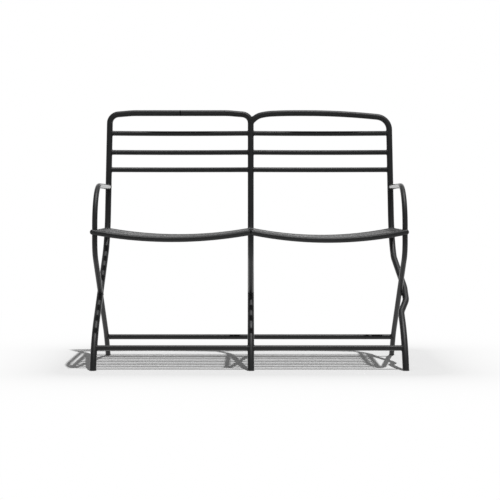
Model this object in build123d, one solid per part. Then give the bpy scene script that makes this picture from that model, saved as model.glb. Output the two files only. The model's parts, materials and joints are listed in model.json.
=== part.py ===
from build123d import *
import math
import os

# Cafe bench for two: welded round tube, three crossed leg sets, two sagging slatted seats,
# two back loops with three bars each, and an open arm at each end.
# Millimetres, +Z up, front towards -Y. The model is worked out with the front feet on Y = 0,
# and is moved at the end so that the origin is the bottom centre of the whole box.

# Tube stock.
frame_tube_d = 22.0
arm_tube_d = 18.0
seat_rail_d = 18.0
side_rail_d = 18.0
back_bar_d = 18.0
stretcher_d = 18.0
tube_wall = 1.5

# Leg planes, left to right, and how far the arm tubes sit to the right of theirs.
side_plane_x = 513.0
center_plane_x = 4.7
left_arm_offset = 1.2
right_arm_offset = 1.8

# Front leg and upright, one tube seen from the side.
front_knee_y = 32.9
front_knee_z = 99.6
front_knee_r = 300.0
hip_y = 460.3
hip_z = 418.3
hip_r = 240.0
back_recline_deg = 11.3

# Arches of the two back loops.
arch_z = 881.2
left_corner_r = 33.0
right_corner_r = 48.0
left_shoulder_run = 83.0
left_shoulder_fall = 7.2
left_shoulder_r = 300.0
right_shoulder_run = 178.0
right_shoulder_fall = 18.4
right_shoulder_r = 2450.0
inner_level_run = 120.0
inner_level_r = 1450.0
inner_curve_run = 60.0
inner_curve_fall = 3.0
inner_curve_r = 200.0
inner_bend_run = 25.0
inner_bend_fall = 10.5
inner_bend_r = 55.0
inner_fall_at_weld = 33.0

# Arm, post and rear leg, one tube seen from the side.
arm_z = 608.5
arm_bend_r = 135.0
post_y = 40.0
post_knee_z = 385.0
post_knee_r = 76.0
rear_bend_y = 410.0
rear_bend_z = 82.0
rear_bend_r = 300.0
rear_foot_y = 472.0

# Side step of the right front leg, which passes the rear leg on its outer side.
step_half_flat = 34.0
step_down_run = 62.0
step_up_run = 165.0
step_down_r = 60.0
step_up_r = 160.0
tube_gap = 0.3

# Seats.
seat_rail_z = 453.0
seat_sags = {"left": 23.5, "right": 26.0}
seat_joint_gap = 1.0
seat_rail_overhang = 4.0
slat_w = 25.0
slat_t = 5.0
slat_below_rail_top = 1.0
slat_count = 8

# Back bars, lowest first: how far they lie under the arch, and how far they bow to the rear.
back_bar_drops = (209.3, 145.4, 74.9)
back_bar_bow = 25.0

# Stretchers between the leg sets.
stretcher_z = 71.0

# Plugs, caps and the sleeve inside the left arch.
plug_flange_t = 3.0
plug_proud = 0.4
plug_stem_len = 22.0
fit_clearance = 0.2
post_over_seat = 1.0
post_cap_rise = 4.0
arch_sleeve_len = 60.0

# How far a cut or a tube runs past the face that trims it.
overrun = 30.0

recline = math.tan(math.radians(back_recline_deg))
post_cap_z = seat_rail_z + seat_rail_d / 2 + post_over_seat
leg_names = ("left", "center", "right")
leg_x = {"left": -side_plane_x, "center": center_plane_x, "right": side_plane_x}
seat_sides = ("left", "right")
seat_ends_x = {
    "left": (-side_plane_x, center_plane_x),
    "right": (center_plane_x, side_plane_x),
}


def back_y(z):
    # Depth of the back plane at a height.
    return hip_y + (z - hip_z) * recline


def rod(path, diameter):
    # A solid round bar along a path.
    section = Plane(origin=path @ 0, z_dir=path % 0) * Circle(diameter / 2)
    return sweep(section, path=path)


def tube(path, diameter):
    # A hollow tube along a path.
    bore = rod(path, diameter - 2 * tube_wall)
    return rod(path, diameter) - bore


def beyond(point, neighbour):
    # The point pushed past an end of a path, away from its neighbour.
    out = (Vector(*point) - Vector(*neighbour)).normalized()
    return Vector(*point) + out * overrun


def above(shape, height):
    # What lies over a level.
    reach = Vector(*shape.bounding_box().size).length + overrun
    middle = shape.bounding_box().center()
    keep = Pos(middle.X, middle.Y, height + reach / 2) * Box(2 * reach, 2 * reach, reach)
    return shape & keep


def biggest(shape):
    # The one real solid of a trimmed tube.
    return sorted(shape.solids(), key=lambda solid: solid.volume)[-1]


def by_height(shape):
    # The solids of a cut tube, lowest first.
    return sorted(shape.solids(), key=lambda solid: solid.center().Z)


def front_leg_points(x):
    # Foot, knee and hip of a front leg.
    return [(x, 0, 0), (x, front_knee_y, front_knee_z), (x, hip_y, hip_z)]


def rear_leg_points(x):
    # Knee under the seat, lower bend and foot of a rear leg.
    return [(x, post_y, post_knee_z), (x, rear_bend_y, rear_bend_z), (x, rear_foot_y, 0)]


def crossing():
    # Where the straight parts of a front and a rear leg cross, seen from the side.
    front_slope = (hip_y - front_knee_y) / (hip_z - front_knee_z)
    rear_slope = (rear_bend_y - post_y) / (rear_bend_z - post_knee_z)
    rise = post_y - front_knee_y + front_slope * front_knee_z - rear_slope * post_knee_z
    z = rise / (front_slope - rear_slope)
    return front_knee_y + front_slope * (z - front_knee_z), z


def stepped_leg_points(x):
    # The right front leg: it steps outward where it passes the rear leg.
    foot, knee, hip = front_leg_points(x)
    y, z = crossing()
    along = (Vector(*hip) - Vector(*knee)).normalized()
    side = Vector(right_arm_offset + arm_tube_d / 2 + tube_gap + frame_tube_d / 2, 0, 0)
    middle = Vector(x, y, z)
    below = step_half_flat + step_down_run
    over = step_half_flat + step_up_run
    step_in = [middle - along * below, middle - along * step_half_flat + side]
    step_out = [middle + along * step_half_flat + side, middle + along * over]
    return [foot, knee] + step_in + step_out + [hip]


def arch_points_left(x, towards):
    # Shoulder and the start of the flat arch, for the two tubes of the left loop.
    low = arch_z - left_shoulder_fall
    flat_x = x + towards * left_shoulder_run
    return [(x, back_y(low), low), (flat_x, back_y(arch_z), arch_z)]


def left_loop_path(x, towards):
    # Foot, hip, shoulder and half of the left arch.
    points = front_leg_points(x) + arch_points_left(x, towards)
    points.append((arch_joint_x(), back_y(arch_z), arch_z))
    points[0] = beyond(points[0], points[1])
    radii = [front_knee_r, hip_r, left_corner_r, left_shoulder_r]
    return FilletPolyline(*points, radius=radii)


def arch_joint_x():
    # The butt joint in the middle of the left arch.
    return (center_plane_x - side_plane_x) / 2


def arch_points_right():
    # The right arch, from its shoulder down to the weld on the centre upright.
    corners = [
        (side_plane_x, right_shoulder_fall),
        (side_plane_x - right_shoulder_run, 0),
        (center_plane_x + inner_level_run, 0),
        (center_plane_x + inner_curve_run, inner_curve_fall),
        (center_plane_x + inner_bend_run, inner_bend_fall),
        (center_plane_x, inner_fall_at_weld),
    ]
    return [(x, back_y(arch_z - fall), arch_z - fall) for x, fall in corners]


def right_loop_path():
    # The stepped right leg, its upright and the whole right arch.
    points = stepped_leg_points(side_plane_x) + arch_points_right()
    points[0] = beyond(points[0], points[1])
    radii = [front_knee_r, step_down_r, step_down_r, step_up_r, step_up_r]
    radii += [hip_r, right_corner_r, right_shoulder_r]
    radii += [inner_level_r, inner_curve_r, inner_bend_r]
    return FilletPolyline(*points, radius=radii)


def arm_path(x):
    # The level arm, its post and the rear leg below it.
    points = [(x, back_y(arm_z), arm_z), (x, post_y, arm_z)] + rear_leg_points(x)
    points[-1] = beyond(points[-1], points[-2])
    return FilletPolyline(*points, radius=[arm_bend_r, post_knee_r, rear_bend_r])


def center_rear_path():
    # The centre rear leg, which has no arm and ends at seat height.
    x = center_plane_x
    points = [(x, post_y, post_cap_z)] + rear_leg_points(x)
    points[-1] = beyond(points[-1], points[-2])
    return FilletPolyline(*points, radius=[post_knee_r, rear_bend_r])


def share_at(path, z):
    # How far along a leg's path a height is reached, found by halving its lower half.
    low, high = 0.0, 0.5
    if (path @ low).Z > (path @ high).Z:
        low, high = 1.0, 0.5
    for _ in range(40):
        middle = (low + high) / 2
        if (path @ middle).Z < z:
            low = middle
        else:
            high = middle
    return low


def seat_circle(side, end_z):
    # Middle, centre height and radius of the circle that a seat's line follows.
    low, high = seat_ends_x[side]
    sag = seat_sags[side]
    half = (high - low) / 2
    radius = (half * half + sag * sag) / (2 * sag)
    return (low + high) / 2, end_z - sag + radius, radius


def seat_curve(side, y, start_cut, end_cut):
    # The sagging line of a rail between two leg planes, with a little left off each end.
    low, high = seat_ends_x[side]
    middle_x, circle_z, radius = seat_circle(side, seat_rail_z)

    def on_curve(x):
        return (x, y, circle_z - math.sqrt(radius * radius - (x - middle_x) ** 2))

    return ThreePointArc(on_curve(low + start_cut), on_curve(middle_x), on_curve(high - end_cut))


def seat_end_slope(side):
    # Slope angle of a seat's curve at its ends.
    low, high = seat_ends_x[side]
    return 2 * math.atan(2 * seat_sags[side] / (high - low))


def seat_rail_path(side, y):
    # A seat rail runs past its outer leg, and stops short of the other seat's rail.
    cut = seat_joint_gap / 2 + seat_rail_d / 2 * math.sin(seat_end_slope(side))
    if side == "left":
        return seat_curve(side, y, -seat_rail_overhang, cut)
    return seat_curve(side, y, cut, -seat_rail_overhang)


def front_rail_y():
    # The front rails lie against the front of the posts.
    return post_y - arm_tube_d / 2 - seat_rail_d / 2


def rear_rail_y(upright_path):
    # The rear rails lie against the front of the uprights.
    reach = frame_tube_d / 2 + seat_rail_d / 2
    low = post_y
    high = back_y(seat_rail_z)
    for _ in range(40):
        middle = (low + high) / 2
        if upright_path.distance_to(Vector(center_plane_x, middle, seat_rail_z)) > reach:
            low = middle
        else:
            high = middle
    return low


def rail_cap(path, at_start):
    # A domed end cap: half a ball on the rail's end, with a stem in its bore.
    point, along = (path @ 0, path % 0) if at_start else (path @ 1, path % 1 * -1)
    ball = Pos(*point) * Sphere(seat_rail_d / 2)
    inward = Plane(origin=point, z_dir=along)
    foot = (Align.CENTER, Align.CENTER, Align.MIN)
    dome = ball - inward * Cylinder(seat_rail_d, seat_rail_d, align=foot)
    stem_r = seat_rail_d / 2 - tube_wall - fit_clearance
    return biggest(dome + inward * Cylinder(stem_r, stem_r, align=foot))


def slat_bar(side, y):
    # A flat bar on the seat's curve, cut square where it meets the side rails.
    low, high = seat_ends_x[side]
    top_z = seat_rail_z + seat_rail_d / 2 - slat_below_rail_top
    middle_x, circle_z, radius = seat_circle(side, top_z)
    start = low + side_rail_d / 2
    end = high - side_rail_d / 2

    def on_arc(x, r):
        return (x, circle_z - math.sqrt(r * r - (x - middle_x) ** 2))

    def arc(x_from, x_to, r):
        return ThreePointArc(on_arc(x_from, r), on_arc(middle_x, r), on_arc(x_to, r))

    top = arc(end, start, radius)
    bottom = arc(start, end, radius + slat_t)
    outline = make_face([bottom, Line(bottom @ 1, top @ 0), top, Line(top @ 1, bottom @ 0)])
    return Pos(0, y, 0) * extrude(Plane.XZ * outline, amount=slat_w / 2, both=True)


def seat_slats(side, front_y, rear_y):
    # Evenly spaced flat slats between the front and the rear rail.
    pitch = (rear_y - front_y) / (slat_count + 1)
    bars = [slat_bar(side, front_y + pitch * (number + 1)) for number in range(slat_count)]
    return Compound([bar.solid() for bar in bars])


def back_bar_path(side, z):
    # A back bar bows to the rear between two uprights.
    low, high = seat_ends_x[side]
    middle = ((low + high) / 2, back_y(z) + back_bar_bow, z)
    return ThreePointArc((low, back_y(z), z), middle, (high, back_y(z), z))


def cross_bar(x_from, x_to, y, z):
    # A straight bar between two legs.
    return Line((x_from, y, z), (x_to, y, z))


def foot_plug(path, diameter):
    # A plug that follows the leg's lean, cut level at the floor and at the tube's end.
    share = share_at(path, 0)
    foot = path @ share
    lean = path % share
    if lean.Z < 0:
        lean = lean * -1
    base = Plane(origin=foot - lean * overrun, z_dir=lean)
    foot_align = (Align.CENTER, Align.CENTER, Align.MIN)
    flange = base * Cylinder(diameter / 2 + plug_proud, 2 * overrun, align=foot_align)
    slab = Box(2 * overrun, 2 * overrun, plug_flange_t, align=foot_align)
    flange = flange & (Pos(foot.X, foot.Y, 0) * slab)
    stem_r = diameter / 2 - tube_wall - fit_clearance
    stem = base * Cylinder(stem_r, overrun + plug_stem_len, align=foot_align)
    return biggest(flange + above(stem, plug_flange_t / 2))


def post_cap():
    # The low domed cap on top of the centre post.
    top = Plane(origin=(center_plane_x, post_y, post_cap_z))
    radius = arm_tube_d / 2
    ball_r = (radius * radius + post_cap_rise * post_cap_rise) / (2 * post_cap_rise)
    foot = (Align.CENTER, Align.CENTER, Align.MIN)
    ball = top * Pos(0, 0, post_cap_rise - ball_r) * Sphere(ball_r)
    dome = ball & (top * Cylinder(radius, 2 * radius, align=foot))
    stem_r = radius - tube_wall - fit_clearance
    hang = (Align.CENTER, Align.CENTER, Align.MAX)
    return biggest(dome + top * Cylinder(stem_r, radius, align=hang))


def arch_sleeve():
    # The short inner sleeve that lines up the two halves of the left arch.
    middle = Vector(arch_joint_x(), back_y(arch_z), arch_z)
    half = Vector(arch_sleeve_len / 2, 0, 0)
    diameter = frame_tube_d - 2 * tube_wall - 2 * fit_clearance
    return tube(Line(middle - half, middle + half), diameter)


def frame_pieces(parts, rods):
    # The three tubes that are front leg, upright and arch.
    paths = {
        "left": left_loop_path(-side_plane_x, 1),
        "center": left_loop_path(center_plane_x, -1),
        "right": right_loop_path(),
    }
    for name, path in paths.items():
        rods[name] = rod(path, frame_tube_d)
    for name, path in paths.items():
        whole = above(tube(path, frame_tube_d), plug_flange_t)
        if name == "right":
            whole = whole - rods["center"]
        parts[name + "_back_loop_and_front_leg"] = biggest(whole)
    parts["left_arch_inner_sleeve"] = arch_sleeve()
    return paths


def arm_pieces(parts, rods):
    # Arms, posts and rear legs. The left and centre ones cross their front leg in plane,
    # so each is two pieces that end on it.
    paths = {
        "left": arm_path(left_arm_offset - side_plane_x),
        "center": center_rear_path(),
        "right": arm_path(side_plane_x + right_arm_offset),
    }
    upper_names = {"left": "left_arm_and_post", "center": "center_post"}
    for name, path in paths.items():
        rods[name + "_rear"] = rod(path, arm_tube_d)
        cut = above(tube(path, arm_tube_d), plug_flange_t) - rods[name]
        if name == "right":
            parts["right_arm_and_rear_leg"] = biggest(cut)
        else:
            pieces = by_height(cut)
            parts[name + "_rear_leg"] = pieces[0]
            parts[upper_names[name]] = pieces[-1]
    parts["center_post_cap"] = post_cap()
    return paths


def seat_pieces(parts, rods, upright_path):
    # Rails, side rails, slats and end caps of the two seats.
    front_y = front_rail_y()
    rear_y = rear_rail_y(upright_path)
    rear_rods = []
    rear_ends = {}
    for side in seat_sides:
        caps = []
        for place, y in (("front", front_y), ("rear", rear_y)):
            path = seat_rail_path(side, y)
            parts[side + "_seat_" + place + "_rail"] = tube(path, seat_rail_d)
            caps.append(rail_cap(path, side == "left"))
            if place == "rear":
                rear_rods.append(rod(path, seat_rail_d))
                rear_ends[side] = path @ 0 if side == "left" else path @ 1
        parts[side + "_seat_rail_caps"] = Compound(caps)
    for name, x in leg_x.items():
        path = Line((x, post_y, seat_rail_z), (x, rear_y, seat_rail_z))
        rail = tube(path, side_rail_d) - rods[name + "_rear"]
        for rear_rod in rear_rods:
            rail = rail - rear_rod
        if name in rear_ends:
            rail = rail - Pos(*rear_ends[name]) * Sphere(seat_rail_d / 2)
        parts[name + "_seat_side_rail"] = biggest(rail)
    for side in seat_sides:
        parts[side + "_seat_slats"] = seat_slats(side, front_y, rear_y)


def cross_pieces(parts, rods, frame_paths, arm_paths):
    # Back bars and stretchers, coped to the tubes at both ends.
    level_names = ("lower", "middle", "upper")
    front_path = frame_paths["left"]
    rear_path = arm_paths["left"]
    front_y = (front_path @ share_at(front_path, stretcher_z)).Y
    rear_y = (rear_path @ share_at(rear_path, stretcher_z)).Y
    for side in seat_sides:
        low, high = seat_ends_x[side]
        for level, drop in zip(level_names, back_bar_drops):
            bar = tube(back_bar_path(side, arch_z - drop), back_bar_d)
            bar = bar - rods[side] - rods["center"]
            parts[side + "_back_bar_" + level] = biggest(bar)
        for place, y, ending in (("front", front_y, ""), ("rear", rear_y, "_rear")):
            bar = tube(cross_bar(low, high, y, stretcher_z), stretcher_d)
            bar = bar - rods[side + ending] - rods["center" + ending]
            parts[side + "_" + place + "_stretcher"] = biggest(bar)


def plug_pieces(parts, frame_paths, arm_paths):
    # Six foot plugs.
    for name in leg_names:
        parts[name + "_front_foot_plug"] = foot_plug(frame_paths[name], frame_tube_d)
        parts[name + "_rear_foot_plug"] = foot_plug(arm_paths[name], arm_tube_d)


def bench():
    # Every piece by name, with the front feet on Y = 0.
    parts = {}
    rods = {}
    frame_paths = frame_pieces(parts, rods)
    arm_paths = arm_pieces(parts, rods)
    seat_pieces(parts, rods, frame_paths["center"])
    cross_pieces(parts, rods, frame_paths, arm_paths)
    plug_pieces(parts, frame_paths, arm_paths)
    return parts


def write_parts(parts):
    # Move the bottom centre of the whole box to the origin and write one file a piece.
    box = Compound(list(parts.values())).bounding_box()
    shift = Pos(-box.center().X, -box.center().Y, -box.min.Z)
    print("shift", -box.center().X, -box.center().Y, -box.min.Z)
    os.makedirs("parts", exist_ok=True)
    for name, piece in parts.items():
        export_step(shift * piece, "parts/" + name + ".step")


write_parts(bench())
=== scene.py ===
import bpy
import json
import math
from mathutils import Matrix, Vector

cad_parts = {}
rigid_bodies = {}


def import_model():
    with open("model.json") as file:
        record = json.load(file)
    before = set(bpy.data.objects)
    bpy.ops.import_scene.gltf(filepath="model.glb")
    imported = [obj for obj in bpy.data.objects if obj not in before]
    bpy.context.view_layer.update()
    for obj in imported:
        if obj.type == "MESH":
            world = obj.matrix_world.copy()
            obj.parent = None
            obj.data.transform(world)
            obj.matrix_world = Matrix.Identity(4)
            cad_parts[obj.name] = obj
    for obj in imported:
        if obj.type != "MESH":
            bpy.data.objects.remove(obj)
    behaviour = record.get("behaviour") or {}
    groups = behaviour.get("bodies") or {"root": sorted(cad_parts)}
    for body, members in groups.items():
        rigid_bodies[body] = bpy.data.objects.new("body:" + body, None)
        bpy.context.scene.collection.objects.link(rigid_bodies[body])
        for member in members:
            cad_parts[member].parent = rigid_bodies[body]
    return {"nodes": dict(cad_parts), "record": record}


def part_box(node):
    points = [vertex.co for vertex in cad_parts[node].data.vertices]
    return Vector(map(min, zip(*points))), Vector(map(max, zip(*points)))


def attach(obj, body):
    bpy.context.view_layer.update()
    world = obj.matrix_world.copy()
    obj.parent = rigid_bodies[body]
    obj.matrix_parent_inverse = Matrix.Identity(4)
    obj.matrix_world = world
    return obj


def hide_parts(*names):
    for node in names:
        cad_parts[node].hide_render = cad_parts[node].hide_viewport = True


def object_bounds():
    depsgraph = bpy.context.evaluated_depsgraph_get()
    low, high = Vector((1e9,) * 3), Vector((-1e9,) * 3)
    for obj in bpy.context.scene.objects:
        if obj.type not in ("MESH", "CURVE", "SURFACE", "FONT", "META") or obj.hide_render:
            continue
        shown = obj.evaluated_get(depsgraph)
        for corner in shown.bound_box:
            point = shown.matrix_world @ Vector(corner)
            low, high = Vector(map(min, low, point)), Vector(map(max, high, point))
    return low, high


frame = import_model()
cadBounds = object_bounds()
scene = bpy.context.scene
bodyName = "root"
print("frame loaded:", len(frame["nodes"]), "nodes")


# camera: level, at the photo's distance and eye height

photoView = {
    "imageSide": 500,           # pixels
    "horizonRow": 205.0,
    "vanishingColumn": 249.45,
    "focalPixels": 1372.0,
    "distance": 4.5,            # from the front feet
    "eyeHeight": 0.543,
    "pitch": 90.0,              # degrees, which is level
    "sensorWidth": 36.0,        # millimetres
}


def boxCentre(node):
    low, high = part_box(node)
    return (low + high) / 2


def makeCamera(spec):
    leftFoot = boxCentre("left_front_foot_plug")
    rightFoot = boxCentre("right_front_foot_plug")
    data = bpy.data.cameras.new("photoCamera")
    data.sensor_width = spec["sensorWidth"]
    data.lens = spec["focalPixels"] / spec["imageSide"] * spec["sensorWidth"]
    middle = spec["imageSide"] / 2
    data.shift_x = (middle - spec["vanishingColumn"]) / spec["imageSide"]
    data.shift_y = (spec["horizonRow"] - middle) / spec["imageSide"]
    camera = bpy.data.objects.new("photoCamera", data)
    middleX = (leftFoot.x + rightFoot.x) / 2
    camera.location = (middleX, leftFoot.y - spec["distance"], spec["eyeHeight"])
    camera.rotation_euler = (math.radians(spec["pitch"]), 0, 0)
    scene.collection.objects.link(camera)
    scene.camera = camera


makeCamera(photoView)
print("camera set")


# node maths: a socket that takes + - * with numbers and other sockets

class Link:
    def __init__(self, maker, socket):
        self.maker = maker
        self.socket = socket

    def __add__(self, other):
        return self.maker.maths("ADD", self, other)

    __radd__ = __add__

    def __mul__(self, other):
        return self.maker.maths("MULTIPLY", self, other)

    __rmul__ = __mul__

    def __sub__(self, other):
        return self.maker.maths("SUBTRACT", self, other)

    def __rsub__(self, other):
        return self.maker.maths("SUBTRACT", other, self)


class Added:
    def __init__(self, maker, node):
        self.maker = maker
        self.node = node

    def out(self, name):
        return Link(self.maker, self.node.outputs[name])


class Maker:
    def __init__(self, tree):
        self.tree = tree

    def add(self, kind, settings=None, sockets=None):
        node = self.tree.nodes.new(kind)
        for key, value in (settings or {}).items():
            setattr(node, key, value)
        for key, value in (sockets or {}).items():
            if isinstance(value, Link):
                self.tree.links.new(value.socket, node.inputs[key])
            else:
                node.inputs[key].default_value = value
        return Added(self, node)

    def maths(self, operation, first, second=0.0):
        return self.add("ShaderNodeMath", {"operation": operation}, {0: first, 1: second}).out(0)

    def vectors(self, operation, first, second=(0, 0, 0), result="Vector"):
        node = self.add("ShaderNodeVectorMath", {"operation": operation}, {0: first, 1: second})
        return node.out(result)

    def part(self, vector, axis):
        return self.add("ShaderNodeSeparateXYZ", None, {0: vector}).out(axis)

    def noise(self, place, scale, detail):
        sockets = {"Vector": place, "Scale": scale, "Detail": detail}
        return self.add("ShaderNodeTexNoise", None, sockets).out(0)

    def smooth(self, value, low, high, toLow=0.0, toHigh=1.0):
        sockets = {"Value": value, "From Min": low, "From Max": high}
        sockets.update({"To Min": toLow, "To Max": toHigh})
        return self.add("ShaderNodeMapRange", {"interpolation_type": "SMOOTHSTEP"}, sockets).out(0)


class Shader(Maker):
    def __init__(self, name):
        self.material = bpy.data.materials.new(name)
        self.material.use_nodes = True
        super().__init__(self.material.node_tree)
        self.tree.nodes.clear()

    def place(self):
        return self.add("ShaderNodeTexCoord").out("Object")

    def mixColour(self, factor, first, second):
        sockets = {"Factor": factor, 6: first, 7: second}
        return self.add("ShaderNodeMix", {"data_type": "RGBA"}, sockets).out(2)

    def bump(self, height, strength):
        sockets = {"Height": height, "Distance": 1.0, "Strength": strength}     # metres
        return self.add("ShaderNodeBump", None, sockets).out("Normal")

    def principled(self, sockets):
        return self.add("ShaderNodeBsdfPrincipled", None, sockets).out(0)

    def diffuse(self, colour):
        return self.add("ShaderNodeBsdfDiffuse", None, {"Color": colour}).out(0)

    def mixSurfaces(self, factor, first, second):
        return self.add("ShaderNodeMixShader", None, {0: factor, 1: first, 2: second}).out(0)

    def finish(self, surface):
        self.add("ShaderNodeOutputMaterial", None, {"Surface": surface})
        return self.material


class Shape(Maker):
    def __init__(self, name, inputs):
        super().__init__(bpy.data.node_groups.new(name, "GeometryNodeTree"))
        face = self.tree.interface
        face.new_socket("Geometry", in_out="INPUT", socket_type="NodeSocketGeometry")
        face.new_socket("Geometry", in_out="OUTPUT", socket_type="NodeSocketGeometry")
        self.ids = {}
        for label, kind in inputs.items():
            socket = face.new_socket(label, in_out="INPUT", socket_type="NodeSocket" + kind)
            self.ids[label] = socket.identifier
        self.given = self.add("NodeGroupInput").out

    def finish(self, geometry):
        smooth = self.add("GeometryNodeSetShadeSmooth", None, {"Geometry": geometry}).out(0)
        whole = self.add("GeometryNodeRealizeInstances", None, {"Geometry": smooth}).out(0)
        sockets = {"Geometry": whole, "Material": self.given("Material")}
        dressed = self.add("GeometryNodeSetMaterial", None, sockets).out(0)
        self.add("NodeGroupOutput", None, {0: dressed})

    def make(self, name, mesh, values):
        piece = bpy.data.objects.new(name, mesh)
        scene.collection.objects.link(piece)
        modifier = piece.modifiers.new("shape", "NODES")
        modifier.node_group = self.tree
        for label, value in values.items():
            modifier[self.ids[label]] = value
        evaluated = piece.evaluated_get(bpy.context.evaluated_depsgraph_get())
        made = bpy.data.meshes.new_from_object(evaluated)
        piece.modifiers.remove(modifier)
        piece.data = made
        return piece


# finishes

noiseMiddle = 0.5               # what a noise gives on average
coatLook = {
    "deep": (0.0055, 0.0060, 0.0064, 1),
    "pale": (0.0100, 0.0106, 0.0112, 1),
    "blotchScale": 9.0,
    "blotchDetail": 3.0,
    "blotchShare": 0.6,         # of the change from deep to pale
    "grainScale": 3600.0,
    "grainDetail": 1.0,
    "grainShare": 0.4,
    "paleBand": (0.3, 0.7),
    "dust": (0.060, 0.060, 0.058, 1),
    "dustAmount": 0.06,
    "dustSlope": (0.35, 1.0),   # it settles where the surface looks up
    "dustBand": (0.35, 0.75),
    "roughness": 0.50,
    "roughnessSpread": 0.05,
    "peelRoughness": 0.06,
    "specular": 0.40,
    "gloss": 0.90,              # clear top layer, at a grazing view
    "glossFacing": (0.60, 0.95),
    "glossRoughness": 0.12,
    "peelScale": 620.0,         # orange peel, about 1.6 mm across
    "peelDetail": 1.5,
    "peelHeight": 0.0000015,
    "grainHeight": 0.0000004,
    "bumpStrength": 0.6,
    "jointX": None,             # where a butt joint's gap gets a painted shadow line, if one does
    # half width of the painted shadow line at the joint, and its near-black colour
    "seamShadeHalf": 0.0030,
    "seamShadeColour": (0.001, 0.001, 0.001, 1),
}


def powderCoat(name, look):
    shader = Shader(name)
    place = shader.place()
    blotch = shader.noise(place, look["blotchScale"], look["blotchDetail"])
    peel = shader.noise(place, look["peelScale"], look["peelDetail"])
    grain = shader.noise(place, look["grainScale"], look["grainDetail"])
    up = shader.part(shader.add("ShaderNodeNewGeometry").out("Normal"), "Z")
    settled = shader.smooth(up, *look["dustSlope"]) * shader.smooth(blotch, *look["dustBand"])
    settled = settled * look["dustAmount"]
    shade = blotch * look["blotchShare"] + grain * look["grainShare"]
    coat = shader.mixColour(shader.smooth(shade, *look["paleBand"]), look["deep"], look["pale"])
    roughness = (blotch - noiseMiddle) * look["roughnessSpread"] + settled + look["roughness"]
    roughness = roughness + (peel - noiseMiddle) * look["peelRoughness"]
    height = peel * look["peelHeight"] + grain * look["grainHeight"]
    facing = shader.add("ShaderNodeLayerWeight").out("Facing")
    surface = shader.principled({
        "Base Color": shader.mixColour(settled, coat, look["dust"]),
        "Roughness": roughness,
        "Specular IOR Level": look["specular"],
        "Coat Weight": shader.smooth(facing, *look["glossFacing"]) * look["gloss"],
        "Coat Roughness": look["glossRoughness"],
        "Normal": shader.bump(height, look["bumpStrength"]),
    })
    if look["jointX"] is not None:      # a painted shadow line round the tube: near-black diffuse stands in for the shade in the butt joint's gap
        off = shader.maths("ABSOLUTE", shader.part(place, "X") - look["jointX"])
        paintedSeamShade = 1 - shader.smooth(off, 0.0, look["seamShadeHalf"])
        surface = shader.mixSurfaces(paintedSeamShade, surface, shader.diffuse(look["seamShadeColour"]))
    return shader.finish(surface)


plugLook = {
    "deep": (0.010, 0.010, 0.011, 1),
    "scuffed": (0.032, 0.031, 0.030, 1),
    "scuffHeight": 0.004,       # above the floor
    "scuffRoughness": 0.1,
    "cloudScale": 180.0,
    "cloudDetail": 4.0,
    "cloudRoughness": 0.12,
    "roughness": 0.62,
    "textureScale": 1500.0,
    "textureHeight": 0.00006,
    "bumpStrength": 1.0,
}


def mouldedPlastic(name, look):
    shader = Shader(name)
    place = shader.place()
    cells = {"Vector": place, "Scale": look["textureScale"]}
    texture = shader.add("ShaderNodeTexVoronoi", None, cells).out("Distance")
    cloud = shader.noise(place, look["cloudScale"], look["cloudDetail"])
    low = 1 - shader.smooth(shader.part(place, "Z"), 0.0, look["scuffHeight"])
    roughness = cloud * look["cloudRoughness"] + look["roughness"] + low * look["scuffRoughness"]
    return shader.finish(shader.principled({
        "Base Color": shader.mixColour(low * cloud, look["deep"], look["scuffed"]),
        "Roughness": roughness,
        "Normal": shader.bump(texture * look["textureHeight"], look["bumpStrength"]),
    }))


sleeveLook = {
    "dark": (0.42, 0.42, 0.43, 1),
    "bright": (0.60, 0.60, 0.61, 1),
    "stretch": (20.0, 900.0, 900.0),    # the draw lines run along the sleeve
    "lineScale": 1.0,
    "lineDetail": 3.0,
    "roughness": 0.25,
    "roughnessSpread": 0.2,
}


def drawnSteel(name, look):
    shader = Shader(name)
    mapping = {"Vector": shader.place(), "Scale": look["stretch"]}
    stretched = shader.add("ShaderNodeMapping", None, mapping).out(0)
    lines = shader.noise(stretched, look["lineScale"], look["lineDetail"])
    return shader.finish(shader.principled({
        "Base Color": shader.mixColour(lines, look["dark"], look["bright"]),
        "Roughness": lines * look["roughnessSpread"] + look["roughness"],
        "Metallic": 1.0,
    }))


slatLook = dict(coatLook, roughness=0.38, specular=0.60, gloss=0.0,
                dustAmount=0.10, peelHeight=0.0000008)
capLook = dict(coatLook, roughness=0.48)
beadLook = dict(coatLook, roughness=0.56, gloss=0.0, peelHeight=0.00002)
# the arch halves' coat, with a painted shadow line at their butt joint
seamShadeLook = dict(coatLook, jointX=boxCentre("left_arch_inner_sleeve").x)
seamShadeNodes = ("left_back_loop_and_front_leg", "center_back_loop_and_front_leg")
finishes = {
    "frame_paint": powderCoat("frameCoat", coatLook),
    "seat_slat_paint": powderCoat("slatCoat", slatLook),
    "end_cap": powderCoat("capCoat", capLook),
    "foot_plug": mouldedPlastic("plugPlastic", plugLook),
    "bare_steel": drawnSteel("sleeveSteel", sleeveLook),
}
jointCoat = powderCoat("jointCoat", seamShadeLook)
beadCoat = powderCoat("beadCoat", beadLook)
for entry in frame["record"]["subparts"]:
    finish = jointCoat if entry["node"] in seamShadeNodes else finishes[entry["material_slot"]]
    cadNode = frame["nodes"][entry["node"]]
    cadNode.data.materials.clear()
    cadNode.data.materials.append(finish)
print("finishes made")


# seats: eight flat bars on one sagging line, with rounded edges, worked out from the rails' boxes

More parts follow.
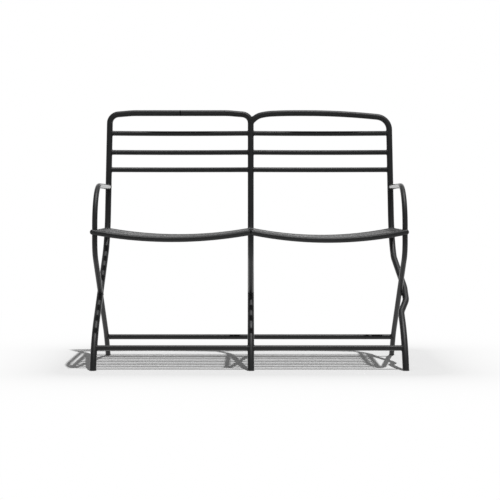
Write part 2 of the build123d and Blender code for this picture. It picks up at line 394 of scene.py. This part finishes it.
seatLook = {
    "sag": {"left": 0.0235, "right": 0.026},    # in the middle of a slat
    "slatCount": 8,
    "slatWidth": 0.025,
    "slatThickness": 0.005,
    "edgeRadius": 0.0013,
    "edgeSteps": 4,
    "belowRailTop": 0.001,      # a slat's top, at its ends
    "railHeight": 0.453,
    "railDiameter": 0.018,
    "intoRail": 0.0035,         # how far a slat runs into the side rail, so that no slit shows
    "stepsAlong": 96,
}
legX = {name: boxCentre(name + "_front_foot_plug").x for name in ("left", "center", "right")}
seatEnds = {"left": ("left", "center"), "right": ("center", "right")}


def seatLine(side, spec):
    low, high = (legX[name] for name in seatEnds[side])
    middle = (low + high) / 2
    half = (high - low) / 2
    sag = spec["sag"][side]
    radius = (half * half + sag * sag) / (2 * sag)
    topHeight = spec["railHeight"] + spec["railDiameter"] / 2 - spec["belowRailTop"]
    endHeight = topHeight - spec["slatThickness"] / 2

    def heightAt(x):
        return endHeight - sag + radius - math.sqrt(radius * radius - (x - middle) ** 2)

    return low, high, heightAt


def slatRows(side, spec):
    frontY = boxCentre(side + "_seat_front_rail").y
    rearY = boxCentre(side + "_seat_rear_rail").y
    pitch = (rearY - frontY) / (spec["slatCount"] + 1)
    return pitch, [frontY + pitch * (number + 1) for number in range(spec["slatCount"])]


def slatTree():
    shape = Shape("slats", {
        "Start": "Vector", "Middle": "Vector", "End": "Vector", "Steps": "Int",
        "Width": "Float", "Thickness": "Float", "Edge Radius": "Float", "Edge Steps": "Int",
        "Count": "Int", "Step": "Vector", "Material": "Material",
    })
    given = shape.given
    arc = {label: given(label) for label in ("Start", "Middle", "End")}
    arc["Resolution"] = given("Steps")
    line = shape.add("GeometryNodeCurveArc", {"mode": "POINTS"}, arc).out("Curve")
    sides = {"Width": given("Width"), "Height": given("Thickness")}
    section = shape.add("GeometryNodeCurvePrimitiveQuadrilateral", {"mode": "RECTANGLE"}, sides).out(0)
    corner = {"Curve": section, "Count": given("Edge Steps"), "Radius": given("Edge Radius")}
    rounded = shape.add("GeometryNodeFilletCurve", {"mode": "POLY"}, corner).out(0)
    sweep = {"Curve": line, "Profile Curve": rounded, "Fill Caps": True}
    slat = shape.add("GeometryNodeCurveToMesh", None, sweep).out(0)
    row = {"Count": given("Count"), "Offset": given("Step")}
    places = shape.add("GeometryNodeMeshLine", {"mode": "OFFSET"}, row).out(0)
    copies = {"Points": places, "Instance": slat}
    shape.finish(shape.add("GeometryNodeInstanceOnPoints", None, copies).out(0))
    return shape


def makeSlats(side, spec, shape):
    node = side + "_seat_slats"
    low, high, heightAt = seatLine(side, spec)
    pitch, rows = slatRows(side, spec)
    reach = spec["railDiameter"] / 2 - spec["intoRail"]
    stops = {"Start": low + reach, "Middle": (low + high) / 2, "End": high - reach}
    values = {label: (x, rows[0], heightAt(x)) for label, x in stops.items()}
    values.update({
        "Steps": spec["stepsAlong"],
        "Width": spec["slatWidth"],
        "Thickness": spec["slatThickness"],
        "Edge Radius": spec["edgeRadius"],
        "Edge Steps": spec["edgeSteps"],
        "Count": spec["slatCount"],
        "Step": (0.0, pitch, 0.0),
        "Material": finishes["seat_slat_paint"],
    })
    slats = shape.make(side + "_slats", bpy.data.meshes.new(side + "_slats"), values)
    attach(slats, bodyName)
    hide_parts(node)
    print(node, len(slats.data.polygons), "faces")


slatShape = slatTree()
for seatSide in seatEnds:
    makeSlats(seatSide, seatLook, slatShape)
print("slats made")


# welds: a bead where each tube end meets its neighbour, and small rings where tubes only touch

weldLook = {
    "frameTube": 0.022,         # outside diameters
    "armTube": 0.018,
    "barTube": 0.018,
    "frontRailY": 0.022,        # from the front feet's plane to the front rails
    "knee": (0.0329, 0.0996),   # points on the legs: behind that plane, above the floor
    "hip": (0.4603, 0.4183),
    "post": (0.040, 0.385),
    "rearBend": (0.410, 0.082),
    "recline": 11.3,            # degrees from upright
    "archHeight": 0.8812,
    "archCornerRadius": 0.033,
    "leftShoulderFall": 0.0072,
    "innerEndFall": 0.033,      # where the right arch ends on the centre upright
    "innerEndRun": 0.025,
    "innerEndRise": 0.0225,
    "barDrops": {"lower": 0.2093, "middle": 0.1454, "upper": 0.0749},   # below the arch
    "barBow": 0.025,
    "armHeight": 0.6085,
    "armShift": {"left": 0.0012, "right": 0.0018},      # an arm tube's centre, beside its leg's
    "frontLegLean": 31.2,       # degrees, at the stretcher
    "rearLegLean": -41.0,
    "centreStep": 0.004,        # the two seats' contacts, each beside the centre leg's middle
    "spotReach": 0.42,          # of the rail's diameter
    "pointsPerLoop": 72,
    "ringRadius": 0.0058,
    "beadRadius": 0.0017,
    "spotRadius": 0.0012,
    "beadSides": 8,
    "spacing": 0.0009,
    "rippleScale": 520.0,
    "rippleDetail": 2.0,
    "rippleHeight": 0.0008,
}
alongX, alongY, alongZ = (Vector(axis) for axis in ((1, 0, 0), (0, 1, 0), (0, 0, 1)))
frontPlaneY = boxCentre("left_seat_front_rail").y - weldLook["frontRailY"]
seatRearY = boxCentre("left_seat_rear_rail").y


def backY(height):
    hipY, hipZ = weldLook["hip"]
    return frontPlaneY + hipY + (height - hipZ) * math.tan(math.radians(weldLook["recline"]))


def leaning(degrees):
    angle = math.radians(degrees)
    return Vector((0, math.sin(angle), math.cos(angle)))


def acrossPart(vector, direction):
    return vector - direction * vector.dot(direction)


def ring(point, axis, radius):
    side = axis.orthogonal().normalized()
    up = axis.cross(side)
    count = weldLook["pointsPerLoop"]
    turns = [2 * math.pi * number / count for number in range(count)]
    return [point + (side * math.cos(turn) + up * math.sin(turn)) * radius for turn in turns]


# the line where a round tube that runs along from point meets the other tube's surface

def saddle(point, along, size, other, otherDirection, otherSize):
    along = along.normalized()
    otherDirection = otherDirection.normalized()
    run = acrossPart(along, otherDirection)
    square = run.dot(run)
    loop = []
    for start in ring(point, along, size / 2):
        off = acrossPart(start - other, otherDirection)
        half = off.dot(run)
        under = max(half * half - square * (off.dot(off) - (otherSize / 2) ** 2), 0)
        loop.append(start + along * ((math.sqrt(under) - half) / square))
    return loop


def legPoint(pair):
    return Vector((0, frontPlaneY + pair[0], pair[1]))


def crossingPoint(spec):
    knee, hip, post, bend = (legPoint(spec[name]) for name in ("knee", "hip", "post", "rearBend"))
    frontWay = hip - knee
    rearWay = bend - post
    off = post - knee
    turn = frontWay.y * rearWay.z - frontWay.z * rearWay.y
    share = (off.y * rearWay.z - off.z * rearWay.y) / turn
    return knee + frontWay * share, frontWay.normalized(), rearWay.normalized()


def backWelds(spec):
    loops = []
    upright = leaning(spec["recline"])
    for low, high in seatEnds.values():
        half = (legX[high] - legX[low]) / 2
        slope = 2 * math.atan(spec["barBow"] / half)
        for drop in spec["barDrops"].values():
            height = spec["archHeight"] - drop
            for name, way in ((low, 1), (high, -1)):
                point = Vector((legX[name], backY(height), height))
                along = Vector((way * math.cos(slope), math.sin(slope), 0))
                bar = saddle(point, along, spec["barTube"], point, upright, spec["frameTube"])
                loops.append(bar)
    height = spec["archHeight"] - spec["innerEndFall"]
    corner = spec["archCornerRadius"]
    climb = height - spec["archHeight"] + spec["leftShoulderFall"] + corner
    turn = math.asin(max(climb / corner, 0))
    point = Vector((legX["center"], backY(height), height))
    along = Vector((spec["innerEndRun"], 0, spec["innerEndRise"]))
    bent = Vector((-math.sin(turn), 0, math.cos(turn)))
    other = point - alongX * (corner * (1 - math.cos(turn)))
    loops.append(saddle(point, along, spec["frameTube"], other, bent, spec["frameTube"]))
    height = spec["armHeight"]
    for side, shift in spec["armShift"].items():
        other = Vector((legX[side], backY(height), height))
        point = other + alongX * shift
        loops.append(saddle(point, -alongY, spec["armTube"], other, upright, spec["frameTube"]))
    return loops


def legWelds(spec):
    loops = []
    middle, frontWay, rearWay = crossingPoint(spec)
    for name in ("left", "center"):
        other = middle + alongX * legX[name]
        point = other + alongX * spec["armShift"].get(name, 0)
        for way in (rearWay, -rearWay):
            loops.append(saddle(point, way, spec["armTube"], other, frontWay, spec["frameTube"]))
    touch = legX["right"] + spec["armShift"]["right"] + spec["armTube"] / 2
    loops.append(ring(middle + alongX * touch, alongX, spec["ringRadius"]))
    places = (("front", "frontLegLean", "frameTube"), ("rear", "rearLegLean", "armTube"))
    for side, (low, high) in seatEnds.items():
        for place, lean, leg in places:
            centre = boxCentre(side + "_" + place + "_stretcher")
            for name, way in ((low, 1), (high, -1)):
                shift = spec["armShift"].get(name, 0) if place == "rear" else 0
                point = Vector((legX[name] + shift, centre.y, centre.z))
                direction = leaning(spec[lean])
                loops.append(saddle(point, alongX * way, spec["barTube"], point, direction, spec[leg]))
    return loops


def seatWelds(spec):
    loops = []
    rail = seatLook["railDiameter"]
    height = seatLook["railHeight"]
    postY = frontPlaneY + spec["post"][0]
    ways = {"left": (1,), "center": (-1, 1), "right": (-1,)}
    for name, x in legX.items():
        shift = spec["armShift"].get(name, 0)
        front = Vector((x, postY, height))
        loops.append(saddle(front, alongY, rail, front + alongX * shift, alongZ, spec["armTube"]))
        rear = Vector((x, seatRearY, height))
        loops.append(saddle(rear, -alongY, rail, rear, alongX, rail))
        for way in ways[name]:
            step = way * spec["centreStep"] if name == "center" else 0
            post = Vector((x + shift + step, postY - rail / 2, height))
            sideRail = Vector((x + step, seatRearY + rail / 2, height))
            for contact in (post, sideRail):
                loops.append(ring(contact, alongY, spec["ringRadius"]))
    return loops


def slatSpots(spec):
    loops = []
    across = alongY * (seatLook["slatWidth"] / 2)
    rise = alongZ * (seatLook["slatThickness"] / 2)
    reach = seatLook["railDiameter"] * spec["spotReach"]
    for side in seatEnds:
        low, high, heightAt = seatLine(side, seatLook)
        for y in slatRows(side, seatLook)[1]:
            for x in (low + reach, high - reach):
                centre = Vector((x, y, heightAt(x)))
                loops.append((centre + across + rise, centre - across + rise,
                              centre - across - rise, centre + across - rise))
    return loops


def loopMesh(name, loops):
    points = []
    edges = []
    for loop in loops:
        first = len(points)
        count = len(loop)
        points.extend(loop)
        edges.extend((first + number, first + (number + 1) % count) for number in range(count))
    mesh = bpy.data.meshes.new(name)
    mesh.from_pydata(points, edges, [])
    return mesh


def beadTree():
    shape = Shape("beads", {
        "Radius": "Float", "Sides": "Int", "Spacing": "Float", "Material": "Material",
        "Ripple Scale": "Float", "Ripple Detail": "Float", "Ripple Height": "Float",
    })
    given = shape.given
    lines = shape.add("GeometryNodeMeshToCurve", None, {"Mesh": given("Geometry")}).out(0)
    spacing = {"Curve": lines, "Length": given("Spacing")}
    even = shape.add("GeometryNodeResampleCurve", {"mode": "LENGTH"}, spacing).out(0)
    circle = {"Resolution": given("Sides"), "Radius": given("Radius")}
    section = shape.add("GeometryNodeCurvePrimitiveCircle", {"mode": "RADIUS"}, circle).out(0)
    sweep = {"Curve": even, "Profile Curve": section}
    bead = shape.add("GeometryNodeCurveToMesh", None, sweep).out(0)
    place = shape.add("GeometryNodeInputPosition").out(0)
    ripple = shape.noise(place, given("Ripple Scale"), given("Ripple Detail")) - noiseMiddle
    normal = shape.add("GeometryNodeInputNormal").out("Normal")
    swell = {0: normal, "Scale": ripple * given("Ripple Height")}
    offset = shape.add("ShaderNodeVectorMath", {"operation": "SCALE"}, swell).out("Vector")
    moved = {"Geometry": bead, "Offset": offset}
    shape.finish(shape.add("GeometryNodeSetPosition", None, moved).out(0))
    return shape


def makeBeads(name, loops, radius, shape, spec):
    values = {
        "Radius": radius,
        "Sides": spec["beadSides"],
        "Spacing": spec["spacing"],
        "Ripple Scale": spec["rippleScale"],
        "Ripple Detail": spec["rippleDetail"],
        "Ripple Height": spec["rippleHeight"] * radius / spec["beadRadius"],
        "Material": beadCoat,
    }
    beads = shape.make(name, loopMesh(name, loops), values)
    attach(beads, bodyName)
    print(name, len(loops), "loops", len(beads.data.polygons), "faces")


beadShape = beadTree()
makeBeads("back_weld_beads", backWelds(weldLook), weldLook["beadRadius"], beadShape, weldLook)
makeBeads("leg_weld_beads", legWelds(weldLook), weldLook["beadRadius"], beadShape, weldLook)
makeBeads("seat_weld_beads", seatWelds(weldLook), weldLook["beadRadius"], beadShape, weldLook)
makeBeads("slat_end_beads", slatSpots(weldLook), weldLook["spotRadius"], beadShape, weldLook)
print("welds made")


# stage: pale floor, left at its lit grey round the bench as painted shade and fading to white away from
# it; one sun from above, dim sky

studio = {
    "white": (1, 1, 1, 1),
    "whiteStrength": 1.0,       # behind, as the camera and the coat see it
    "frontStrength": 0.35,      # what the coat mirrors from above and from the camera's side
    "backBand": (0.3, 0.95),    # it brightens to white over these, a direction's Y
    "skyStrength": 0.245,
    "floorHalf": 14.0,
    "floorColour": (0.778, 0.778, 0.778, 1),
    "fadeStart": 0.10,          # outside the bench's own footprint; within this the floor keeps its lit grey, as painted shade round the bench
    "fadeLength": 0.15,
    "sunStrength": 2.7,
    "sunSize": 1.2,             # degrees
    "shadowShift": (-0.178, 0.120),     # where a shadow falls, for each metre of height
}


def makeFloor(spec):
    shader = Shader("floorPaper")
    low, high = cadBounds
    middle = ((low[0] + high[0]) / 2, (low[1] + high[1]) / 2, 0)
    half = ((high[0] - low[0]) / 2, (high[1] - low[1]) / 2, 0)
    off = shader.vectors("ABSOLUTE", shader.vectors("SUBTRACT", shader.place(), middle))
    outside = shader.vectors("MAXIMUM", shader.vectors("SUBTRACT", off, half))
    away = shader.vectors("LENGTH", outside, result="Value")
    beyond = shader.maths("MAXIMUM", away - spec["fadeStart"])
    # the floor stays lit grey near the bench and glows white further out, so it is darker round the
    # footprint: painted shade. The shadows cast on it are real
    paintedShadeNearBench = shader.maths("EXPONENT", beyond * (-1 / spec["fadeLength"]))
    path = shader.add("ShaderNodeLightPath")
    fade = (1 - paintedShadeNearBench) * path.out("Is Camera Ray") + path.out("Is Glossy Ray")
    glow = {"Color": spec["white"], "Strength": spec["whiteStrength"]}
    white = shader.add("ShaderNodeEmission", None, glow).out(0)
    surface = shader.mixSurfaces(fade, shader.diffuse(spec["floorColour"]), white)    # keeps the shadow
    reach = spec["floorHalf"]
    corners = [(-reach, -reach, 0), (reach, -reach, 0), (reach, reach, 0), (-reach, reach, 0)]
    mesh = bpy.data.meshes.new("floor")
    mesh.from_pydata(corners, [], [(0, 1, 2, 3)])
    mesh.materials.append(shader.finish(surface))
    floor = bpy.data.objects.new("floor", mesh)
    scene.collection.objects.link(floor)


def makeSky(spec):
    world = bpy.data.worlds.new("sky")
    world.use_nodes = True
    scene.world = world
    sky = Maker(world.node_tree)
    sky.tree.nodes.clear()
    path = sky.add("ShaderNodeLightPath")
    camera, glossy = path.out("Is Camera Ray"), path.out("Is Glossy Ray")
    toBack = sky.part(sky.add("ShaderNodeTexCoord").out("Generated"), "Y")
    mirrored = sky.smooth(toBack, *spec["backBand"], spec["frontStrength"], spec["whiteStrength"])
    strength = camera * spec["whiteStrength"] + glossy * mirrored
    strength = strength + (1 - camera - glossy) * spec["skyStrength"]
    glow = {"Color": spec["white"], "Strength": strength}
    light = sky.add("ShaderNodeBackground", None, glow).out(0)
    sky.add("ShaderNodeOutputWorld", None, {"Surface": light})


def makeSun(spec):
    data = bpy.data.lights.new("topLight", "SUN")
    data.energy = spec["sunStrength"]
    data.angle = math.radians(spec["sunSize"])
    sun = bpy.data.objects.new("topLight", data)
    ray = Vector((*spec["shadowShift"], -1.0))
    sun.rotation_euler = ray.to_track_quat("-Z", "Y").to_euler()
    scene.collection.objects.link(sun)


makeFloor(studio)
makeSky(studio)
makeSun(studio)
scene.view_settings.view_transform = "Standard"
print("stage made")
